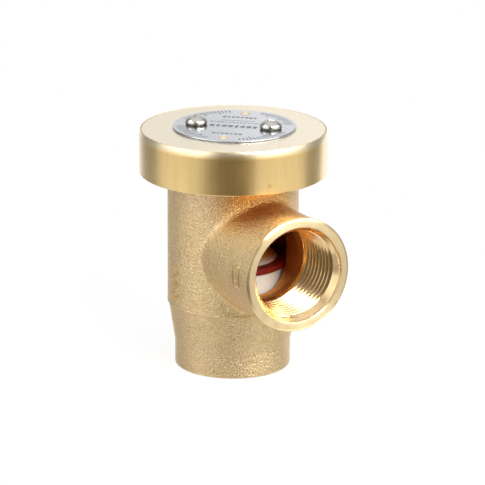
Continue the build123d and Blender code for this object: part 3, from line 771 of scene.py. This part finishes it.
retainer_base_r, retainer_top_r, retainer_rim, recess_r, screw_hole_r = 12.9, 8.0, 2.2, 3.7, 1.35
retainer_section = rounded(
    [(retainer_base_r - 1, seal_top), (retainer_base_r, seal_top), (retainer_top_r, retainer_top),
     (recess_r, retainer_top), (recess_r, retainer_top - retainer_recess),
     (screw_hole_r, retainer_top - retainer_recess), (screw_hole_r, post_top),
     (retainer_top_r - retainer_rim, post_top),
     (retainer_base_r - retainer_rim, seal_top), (retainer_base_r - 1, seal_top)],
    (0.15, 0.6, 0.15, 0.1, 0.05, 0.1, 0.4, 0.1), 6,
)
retainer = make_piece("seal_retainer_cone", [(turned(retainer_section, 240), True, 0)], 40)
acetal_painted_glow = new_material("acetal_painted_brass_glow")
place = add(acetal_painted_glow, "ShaderNodeTexCoord").outputs["Object"]
cloud = add(acetal_painted_glow, "ShaderNodeTexNoise", {"Vector": place, "Scale": 200.0, "Detail": 2.0})
height = add(acetal_painted_glow, "ShaderNodeSeparateXYZ", {"Vector": place})
level = add(acetal_painted_glow, "ShaderNodeMath", {0: cloud, 1: 0.002, 2: height.outputs["Z"]}, operation="MULTIPLY_ADD")
# Painted reflection: above a cloudy line the white is mixed towards amber.
painted_glow_share = add(
    acetal_painted_glow, "ShaderNodeMapRange", {"Value": level, "From Min": 0.033, "From Max": 0.0352},
    interpolation_type="SMOOTHSTEP")
tone = add(acetal_painted_glow, "ShaderNodeMix", {"Factor": painted_glow_share, 6: linear("#EFECE4"), 7: linear("#D8903C")}, data_type="RGBA")
plastic = add(acetal_painted_glow, "ShaderNodeBsdfPrincipled", {"Base Color": tone.outputs[2], "Roughness": 0.32, "IOR": 1.48})
add(acetal_painted_glow, "ShaderNodeOutputMaterial", {"Surface": plastic})
retainer.data.materials.append(acetal_painted_glow)
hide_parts("disc_retainer")
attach(retainer, "float")


# ---- Retainer washer and screw
# Stainless washer and round-head screw in the retainer's recess. They clamp cone, disc and cup together.

for name in ("retainer_washer", "retainer_screw"):
    steel_part = frame["nodes"][name]
    steel_part.data.materials.clear()
    steel_part.data.materials.append(stainless)


# ---- Floor, backdrop, lights and camera
# A small white table top that fades into a white surround, a ring-shaped tent wall that lights the
# metal in broad bands, and soft lamps above.

floor_angle = np.arange(96) * 2 * np.pi / 96
floor_rings = np.array([0, 0.05, 0.1, 0.17])[:, None]
floor_mesh = bpy.data.meshes.new("floor")
floor_points = np.stack([
    floor_rings * np.cos(floor_angle), floor_rings * np.sin(floor_angle), 0 * floor_rings * floor_angle - 0.0001,
], -1)
number = np.arange(4 * 96).reshape(4, 96)
number = np.concatenate([number, number[:, :1]], 1)
floor_mesh.from_pydata(
    floor_points.reshape(-1, 3).tolist(), [],
    np.stack([number[:-1, :-1], number[1:, :-1], number[1:, 1:], number[:-1, 1:]], -1).reshape(-1, 4).tolist(),
)
floor = bpy.data.objects.new("floor", floor_mesh)
bpy.context.scene.collection.objects.link(floor)
white_table = new_material("white_table_top")
place = add(white_table, "ShaderNodeTexCoord").outputs["Object"]
out = add(white_table, "ShaderNodeVectorMath", {0: place}, operation="LENGTH")
fade = add(
    white_table, "ShaderNodeMapRange", {"Value": out.outputs["Value"], "From Min": 0.09, "From Max": 0.165},
    interpolation_type="SMOOTHSTEP")
rays = add(white_table, "ShaderNodeLightPath")
seen = add(white_table, "ShaderNodeMath", {0: rays.outputs["Is Camera Ray"], 1: 0.9}, operation="MULTIPLY")
gone = add(white_table, "ShaderNodeMath", {0: rays.outputs["Is Glossy Ray"], 1: fade}, operation="MAXIMUM")
board = add(white_table, "ShaderNodeBsdfDiffuse", {"Color": linear("#F4F4F4")})
glow = add(white_table, "ShaderNodeEmission", {"Color": (1, 1, 1, 1), "Strength": 1.0})
top_coat = add(white_table, "ShaderNodeMixShader", {0: seen, 1: board, 2: glow})
clear = add(white_table, "ShaderNodeBsdfTransparent")
surface = add(white_table, "ShaderNodeMixShader", {0: gone, 1: top_coat, 2: clear})
add(white_table, "ShaderNodeOutputMaterial", {"Surface": surface})
floor_mesh.materials.append(white_table)

camera_azimuth = math.radians(-29.2)
wall_angle = np.linspace(0, 2 * np.pi, 193)
wall_r, wall_height = 750, np.array([-720, 1600])[:, None]
wall_x, wall_y = wall_r * np.cos(wall_angle), wall_r * np.sin(wall_angle)
wall_grid = np.stack([wall_x + 0 * wall_height, wall_y + 0 * wall_height, wall_height + 0 * wall_angle], -1)
tent_wall = make_piece("tent_wall", [(wall_grid, False, 0)])
tent = new_material("lit_tent_cloth")
place = add(tent, "ShaderNodeTexCoord").outputs["Object"]
from_camera = add(tent, "ShaderNodeMapping", {"Vector": place, "Rotation": (0, 0, -camera_azimuth)})
way_round = add(tent, "ShaderNodeTexGradient", {"Vector": from_camera}, gradient_type="RADIAL")

# Brightness of the cloth at angles in degrees round the valve from the camera, low down, at the valve's
# height and higher up. The darkest bands are a little warm, like the room beyond the cloth.
low_stops = [
    (-180, 1.0), (-158, 1.0), (-134, 0.36), (-108, 0.34), (-98, 0.84), (-60, 0.84), (-44, 0.66), (-34, 0.42),
    (-25, 0.2), (-16, 0.12), (17, 0.12), (30, 0.82), (92, 0.88), (102, 0.32), (126, 0.32), (138, 1.3),
    (180, 1.2),
]
middle_stops = [
    (-180, 0.84), (-160, 0.8), (-146, 0.6), (-134, 0.28), (-106, 0.26), (-95, 0.9), (-75, 1.3), (-38, 1.7),
    (-24, 0.4), (-15, 0.12), (15, 0.12), (24, 0.9), (34, 1.5), (60, 1.5), (80, 1.0), (90, 0.8), (100, 0.3),
    (126, 0.3), (142, 0.6), (160, 0.78), (180, 0.84),
]
upper_stops = [
    (-180, 0.84), (-160, 0.8), (-146, 0.6), (-130, 0.28), (-106, 0.26), (-95, 0.9), (-75, 1.5), (-30, 1.6),
    (-20, 0.2), (-14, 0.12), (25, 0.12), (36, 1.5), (60, 1.4), (80, 1.1), (90, 0.8), (100, 0.3), (126, 0.3),
    (142, 0.6), (160, 0.78), (180, 0.84),
]
levels = []
for stops in (low_stops, middle_stops, upper_stops):
    bands = add(tent, "ShaderNodeValToRGB", {"Fac": way_round.outputs["Fac"]})
    ramp = bands.color_ramp
    for degrees, level in stops:
        stop = ramp.elements.new(min(max(degrees / 360 + 0.5, 0), 1))
        stop.color = (1.25 * level, level, 0.72 * level, 1) if level < 0.25 else (level, level, level, 1)
    ramp.elements.remove(ramp.elements[0])
    ramp.elements.remove(ramp.elements[-1])
    levels.append(bands.outputs["Color"])
height = add(tent, "ShaderNodeSeparateXYZ", {"Vector": place})
rise = add(tent, "ShaderNodeMapRange", {"Value": height.outputs["Z"], "From Min": -0.08, "From Max": 0.02})
bands = add(tent, "ShaderNodeMix", {"Factor": rise, 6: levels[0], 7: levels[1]}, data_type="RGBA")
over = add(tent, "ShaderNodeMapRange", {"Value": height.outputs["Z"], "From Min": 0.14, "From Max": 0.26})
bands = add(tent, "ShaderNodeMix", {"Factor": over, 6: bands.outputs[2], 7: levels[2]}, data_type="RGBA")
crown = add(tent, "ShaderNodeMapRange", {"Value": height.outputs["Z"], "From Min": 0.84, "From Max": 0.96})
bands = add(tent, "ShaderNodeMix", {"Factor": crown, 6: bands.outputs[2], 7: (0.85, 0.85, 0.85, 1)}, data_type="RGBA")
cloth = add(tent, "ShaderNodeEmission", {"Color": bands.outputs[2], "Strength": 1.0})
add(tent, "ShaderNodeOutputMaterial", {"Surface": cloth})
tent_wall.data.materials.append(tent)
tent_wall.visible_camera = False

world = bpy.data.worlds.new("white_surround")
bpy.context.scene.world = world
world.use_nodes = True
world.node_tree.nodes.clear()
rays = add(world, "ShaderNodeLightPath")
seen = add(
    world, "ShaderNodeMath", {0: rays.outputs["Is Camera Ray"], 1: rays.outputs["Is Glossy Ray"]},
    operation="MAXIMUM")
seen = add(world, "ShaderNodeMath", {0: seen, 1: rays.outputs["Is Transmission Ray"]}, operation="MAXIMUM")
level = add(world, "ShaderNodeMapRange", {"Value": seen, "To Min": 0.75, "To Max": 1.0})
white = add(world, "ShaderNodeBackground", {"Color": (1, 1, 1, 1), "Strength": level})
add(world, "ShaderNodeOutputWorld", {"Surface": white})


def soft_lamp(name, azimuth, elevation, distance, width, height, power):
    """A square lamp that faces the valve from the given direction; degrees and metres."""
    a, e = math.radians(azimuth), math.radians(elevation)
    lamp = bpy.data.lights.new(name, "AREA")
    lamp.shape, lamp.size, lamp.size_y, lamp.energy = "RECTANGLE", width, height, power
    holder = bpy.data.objects.new(name, lamp)
    back = Vector((math.cos(a) * math.cos(e), math.sin(a) * math.cos(e), math.sin(e)))
    holder.location = Vector((0, 0, 0.035)) + back * distance
    holder.rotation_euler = back.to_track_quat("Z", "Y").to_euler()
    bpy.context.scene.collection.objects.link(holder)


soft_lamp("key_lamp", 36, 31, 0.65, 0.62, 0.24, 2.6)
soft_lamp("front_lamp", -5, 38, 0.8, 0.3, 0.3, 4.0)
soft_lamp("left_lamp", -110, 40, 0.7, 0.3, 0.3, 0.9)

camera_elevation, camera_roll, camera_distance = math.radians(16.78), math.radians(0.25), 0.9392
aim = Vector((0, 0, 0.03604))
back = Vector((
    math.cos(camera_azimuth) * math.cos(camera_elevation), math.sin(camera_azimuth) * math.cos(camera_elevation),
    math.sin(camera_elevation),
))
level_right = Vector((-math.sin(camera_azimuth), math.cos(camera_azimuth), 0))
level_up = back.cross(level_right)
right = level_right * math.cos(camera_roll) + level_up * math.sin(camera_roll)
up = back.cross(right)
lens = bpy.data.cameras.new("camera")
lens.lens, lens.sensor_width, lens.shift_x, lens.shift_y = 240.0, 36.0, 0.0196, 0.001
lens.clip_start, lens.clip_end = 0.05, 10
camera = bpy.data.objects.new("camera", lens)
camera.matrix_world = Matrix.Translation(aim + back * camera_distance) @ Matrix((right, up, back)).transposed().to_4x4()
bpy.context.scene.collection.objects.link(camera)
bpy.context.scene.camera = camera
bpy.context.scene.view_settings.view_transform = "Standard"
bpy.context.scene.cycles.glossy_bounces = 12
